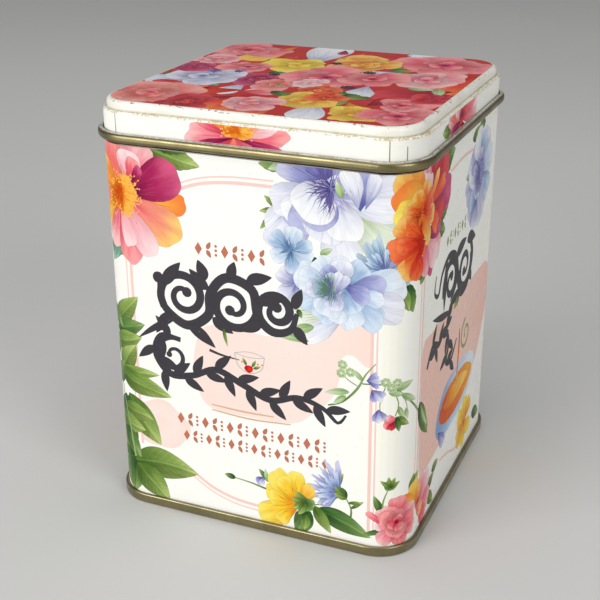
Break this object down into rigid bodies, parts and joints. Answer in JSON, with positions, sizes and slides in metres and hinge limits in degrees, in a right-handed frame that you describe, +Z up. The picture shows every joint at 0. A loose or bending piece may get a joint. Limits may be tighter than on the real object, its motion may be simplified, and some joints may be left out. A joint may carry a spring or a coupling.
{
  "type": "tea caddy",
  "caption": "Square printed tinplate tea caddy with rounded corners, a stepped slip lid with an open outward curl, and a plug-shaped inner lid with a knob.",
  "frame": {"origin": "on the surface that the tin stands on, below the centre of its body", "axes": "+Z up along the tin's axis, -Y out of the front face, +X to the right seen from the front"},
  "size_m": [0.1036, 0.1036, 0.1334],
  "materials": {
    "printed_body": "offset-printed tinplate, cream ground with flowers, gloss varnish",
    "printed_lid": "offset-printed tinplate, white rim and flower-covered top, gloss varnish",
    "gold_lacquer": "bare tinplate under clear gold lacquer, lightly scratched",
    "sealing_compound": "grey water-based sealing compound, matt",
    "knob_enamel": "cream stove enamel, gloss",
    "rivet_steel": "plain tin-plated steel"
  },
  "bodies": {
    "tin": {"body_wrap": "printed_body", "base_end": "gold_lacquer", "seam_compound": "sealing_compound"},
    "plug_lid": {"inner_lid": "gold_lacquer", "inner_lid_knob": "knob_enamel", "knob_rivet": "rivet_steel"},
    "slip_lid": {"outer_lid": "printed_lid"}
  },
  "joints": [
    {"name": "inner_lid_lift", "type": "slide", "parent": "tin", "child": "plug_lid", "axis": [0, 0, 1], "range_m": [0, 0.045]},
    {"name": "outer_lid_lift", "type": "slide", "parent": "plug_lid", "child": "slip_lid", "axis": [0, 0, 1], "range_m": [0, 0.06]}
  ]
}
